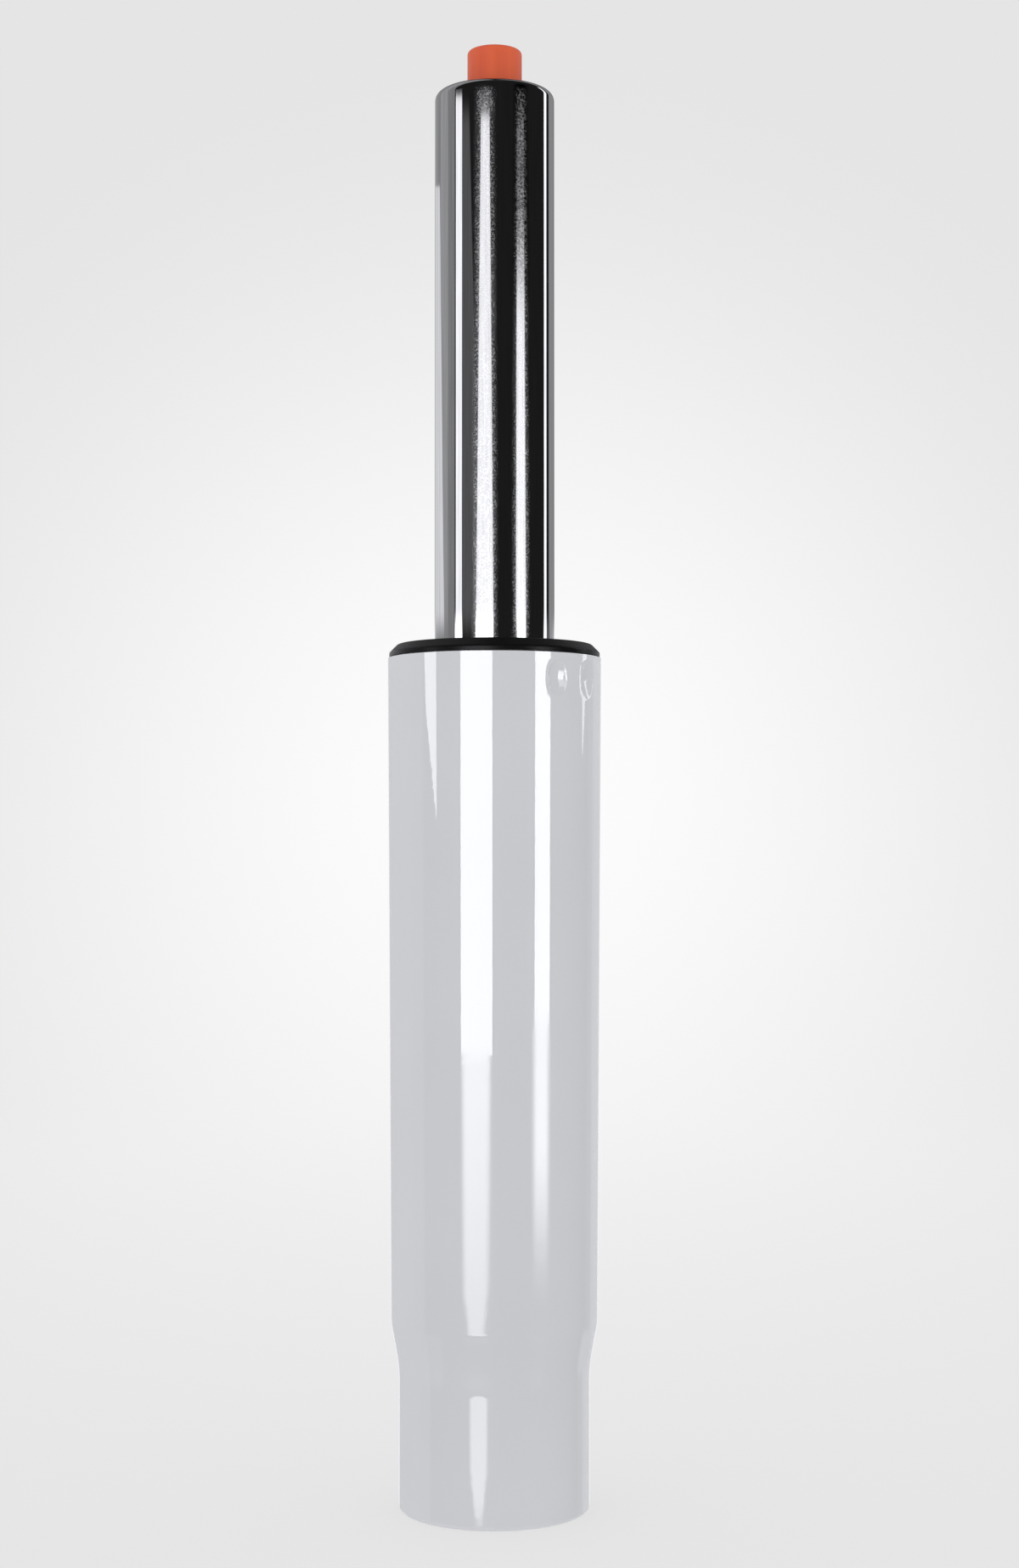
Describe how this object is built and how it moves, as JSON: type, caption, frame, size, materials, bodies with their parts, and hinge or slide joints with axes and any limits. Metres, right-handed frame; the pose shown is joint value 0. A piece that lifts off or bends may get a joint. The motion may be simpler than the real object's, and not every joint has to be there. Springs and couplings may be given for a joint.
{
  "type": "chair gas lift cylinder",
  "caption": "Tapered outer tube with a guide collar, and a gas-sprung column that slides and turns in it and locks until its end button is pressed.",
  "frame": {"origin": "middle of the outer tube's foot, on the surface that it stands on", "axes": "+Z along the tube and column, up to the release button; -Y faces the viewer of the picture"},
  "size_m": [0.05, 0.05, 0.34],
  "materials": {
    "tube_paint": "gloss light grey paint",
    "column_black": "gloss black, finely grained",
    "black_plastic": "satin",
    "button_orange": "satin moulded",
    "plain_steel": "turned",
    "bearing_steel": "ground",
    "cage_brass": "stamped",
    "rod_chrome": "polished",
    "bumper_rubber": "matte",
    "zinc_steel": "zinc plated",
    "clip_steel": "blackened spring steel",
    "piston_aluminium": "turned",
    "seal_rubber": "satin",
    "bush_bronze": "sintered",
    "white_plastic": "satin",
    "ivory_plastic": "satin",
    "housing_aluminium": "anodised",
    "valve_brass": "turned"
  },
  "bodies": {
    "stand": {"stand_tube": "tube_paint", "base_plate": "plain_steel", "guide_sleeve": "black_plastic", "lower_race": "bearing_steel"},
    "cage": {"ball_cage": "cage_brass", "bearing_balls": "bearing_steel"},
    "rod": {"piston_rod": "rod_chrome", "upper_race": "bearing_steel", "rubber_bumper": "bumper_rubber", "rod_washer": "zinc_steel", "retaining_clip": "clip_steel", "piston": "piston_aluminium", "piston_seal": "seal_rubber", "piston_washers": "zinc_steel"},
    "cylinder": {"pressure_tube": "column_black", "inner_cylinder": "plain_steel", "end_washer": "zinc_steel", "rod_guide": "bush_bronze", "seal_backup_ring": "white_plastic", "rod_seal": "seal_rubber", "cylinder_seat": "ivory_plastic", "end_disc": "zinc_steel", "valve_housing": "housing_aluminium", "housing_seal": "seal_rubber", "cylinder_seal": "seal_rubber", "valve_spacer": "valve_brass", "valve_seals": "seal_rubber", "valve_seat": "valve_brass"},
    "release": {"valve_pin": "rod_chrome", "release_button": "button_orange"}
  },
  "joints": [
    {"name": "swivel", "type": "hinge", "parent": "stand", "child": "rod", "pos_m": [0, 0, 0.0148], "axis": [0, 0, 1], "continuous": true},
    {"name": "cage_orbit", "type": "hinge", "parent": "stand", "child": "cage", "pos_m": [0, 0, 0.0148], "axis": [0, 0, 1], "continuous": true},
    {"name": "lift", "type": "slide", "parent": "rod", "child": "cylinder", "axis": [0, 0, 1], "range_m": [-0.075, 0.015]},
    {"name": "release_press", "type": "slide", "parent": "cylinder", "child": "release", "axis": [0, 0, -1], "range_m": [0, 0.003], "stiffness_N_per_m": 4000, "springref_m": -0.01}
  ],
  "couplings": [
    {"joint": "cage_orbit", "follows": "swivel", "ratio": 0.5}
  ]
}
